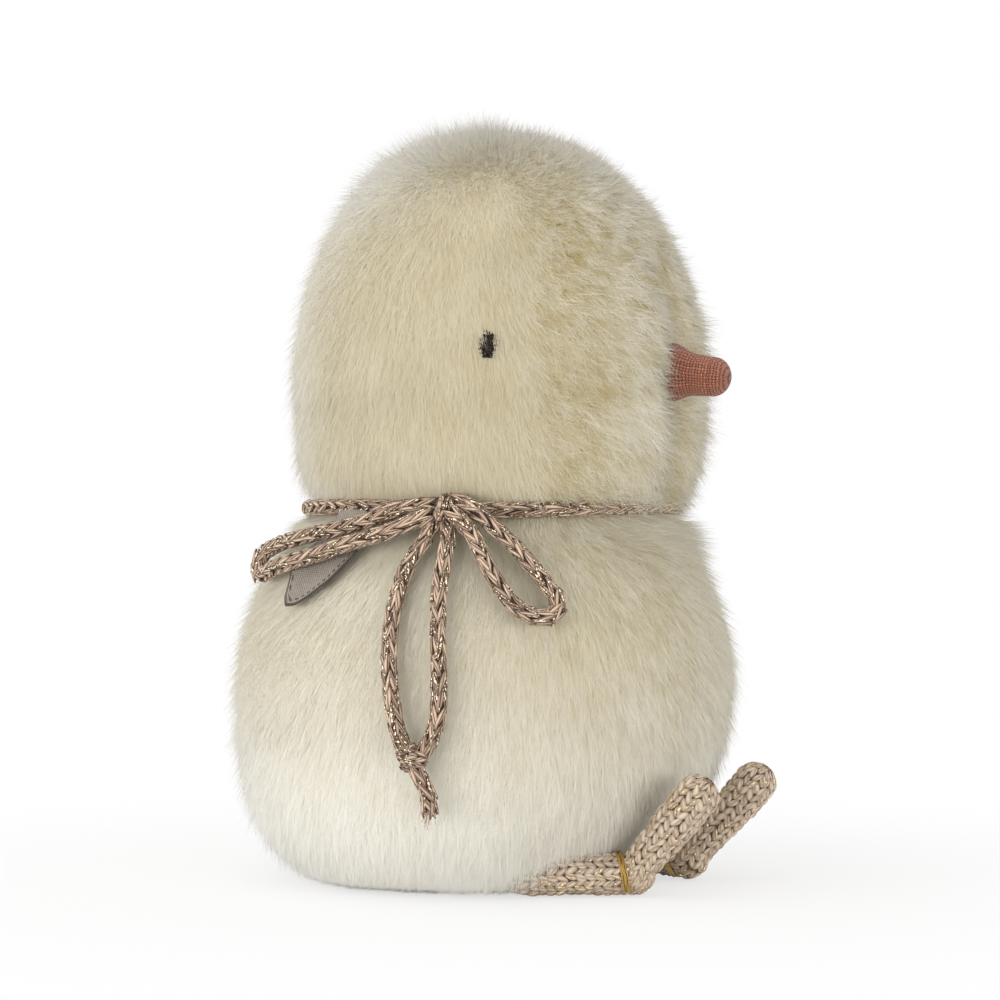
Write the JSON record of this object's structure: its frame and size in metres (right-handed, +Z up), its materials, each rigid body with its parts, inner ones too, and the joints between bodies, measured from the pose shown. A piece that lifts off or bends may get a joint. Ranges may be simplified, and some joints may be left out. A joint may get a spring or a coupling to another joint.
{
  "type": "wind-up plush chick",
  "caption": "Sitting plush chick in cream fur with a linen beak, knitted legs and a bow tied round its neck, on a flat base that hides a wind-up hop motor turned by a side key.",
  "frame": {"origin": "centre of the base plate's underside, on the floor", "axes": "+Z up, -Y the way the chick faces, +X towards its left side, where the key is"},
  "size_m": [0.1175, 0.1004, 0.141],
  "materials": {
    "fur": "short cream pile",
    "filling": "loose white fibre",
    "linen": "plain-woven terracotta linen",
    "eye_thread": "matte black embroidery thread",
    "knit": "beige stockinette with gold flecks",
    "gold_thread": "gold sewing thread",
    "bow_cord": "taupe chain-knit cord with gold flecks",
    "ribbon": "taupe woven ribbon",
    "base_plastic": "cream moulded plastic",
    "cover_plastic": "grey moulded plastic",
    "steel": "plain steel",
    "brass": "plain brass",
    "spring_steel": "blued strip steel",
    "crank_plastic": "ivory moulded plastic",
    "hop_plastic": "orange moulded plastic"
  },
  "bodies": {
    "chick": {"body_skin": "fur", "body_stuffing": "filling", "head_skin": "fur", "head_stuffing": "filling", "beak": "linen", "right_eye": "eye_thread", "left_eye": "eye_thread", "right_leg": "knit", "left_leg": "knit", "right_ankle_stitch": "gold_thread", "left_ankle_stitch": "gold_thread", "neck_cord": "bow_cord", "bow_knot": "bow_cord", "bow_loop_rear": "bow_cord", "bow_loop_front": "bow_cord", "bow_tail_rear": "bow_cord", "bow_tail_front": "bow_cord", "tail_knot": "bow_cord", "tail_stub": "bow_cord", "label": "ribbon", "base_plate": "base_plastic", "motor_cover": "cover_plastic", "base_screws": "steel", "motor_plate_right": "steel", "motor_plate_left": "steel", "frame_pillars": "brass", "frame_screws": "steel", "key_eyelet": "brass", "mainspring": "spring_steel"},
    "winding": {"winding_arbor": "steel", "winding_key": "brass", "great_wheel": "brass", "ratchet_wheel": "steel"},
    "click": {"click": "steel"},
    "second_train": {"second_arbor": "steel", "second_pinion": "brass", "second_wheel": "brass"},
    "front_crank": {"front_crank_arbor": "steel", "front_crank_pinion": "brass", "front_cranks": "crank_plastic", "front_pin_caps": "steel"},
    "rear_crank": {"rear_crank_arbor": "steel", "rear_crank_pinion": "brass", "rear_cranks": "crank_plastic", "rear_pin_caps": "steel"},
    "right_hop_foot": {"right_hop_foot": "hop_plastic"},
    "left_hop_foot": {"left_hop_foot": "hop_plastic"},
    "right_foot": {"right_foot": "knit"},
    "left_foot": {"left_foot": "knit"}
  },
  "joints": [
    {"name": "key_turn", "type": "hinge", "parent": "chick", "child": "winding", "pos_m": [0, 0, 0.04205], "axis": [1, 0, 0], "continuous": true},
    {"name": "click_lift", "type": "hinge", "parent": "winding", "child": "click", "pos_m": [0, 0.0073, 0.04815], "axis": [-1, 0, 0], "range_deg": [0, 12], "stiffness_Nm_per_rad": 0.0005},
    {"name": "second_turn", "type": "hinge", "parent": "chick", "child": "second_train", "pos_m": [0, 0, 0.02125], "axis": [1, 0, 0], "continuous": true},
    {"name": "front_crank_turn", "type": "hinge", "parent": "chick", "child": "front_crank", "pos_m": [0, -0.0115, 0.009], "axis": [1, 0, 0], "continuous": true},
    {"name": "rear_crank_turn", "type": "hinge", "parent": "chick", "child": "rear_crank", "pos_m": [0, 0.0115, 0.009], "axis": [1, 0, 0], "continuous": true},
    {"name": "right_hop_step", "type": "hinge", "parent": "front_crank", "child": "right_hop_foot", "pos_m": [0, -0.0115, 0.0115], "axis": [1, 0, 0], "continuous": true},
    {"name": "left_hop_step", "type": "hinge", "parent": "front_crank", "child": "left_hop_foot", "pos_m": [0, -0.0115, 0.0115], "axis": [1, 0, 0], "continuous": true},
    {"name": "right_ankle", "type": "hinge", "parent": "chick", "child": "right_foot", "pos_m": [-0.0135, -0.039, 0.0038], "axis": [-1, 0, 0], "range_deg": [-40, 5], "stiffness_Nm_per_rad": 0.004},
    {"name": "left_ankle", "type": "hinge", "parent": "chick", "child": "left_foot", "pos_m": [0.0135, -0.039, 0.0038], "axis": [-1, 0, 0], "range_deg": [-40, 5], "stiffness_Nm_per_rad": 0.004}
  ],
  "couplings": [
    {"joint": "second_turn", "follows": "key_turn", "ratio": -3.3333},
    {"joint": "front_crank_turn", "follows": "key_turn", "ratio": 8.3333},
    {"joint": "rear_crank_turn", "follows": "key_turn", "ratio": 8.3333},
    {"joint": "right_hop_step", "follows": "key_turn", "ratio": -8.3333},
    {"joint": "left_hop_step", "follows": "key_turn", "ratio": -8.3333}
  ]
}
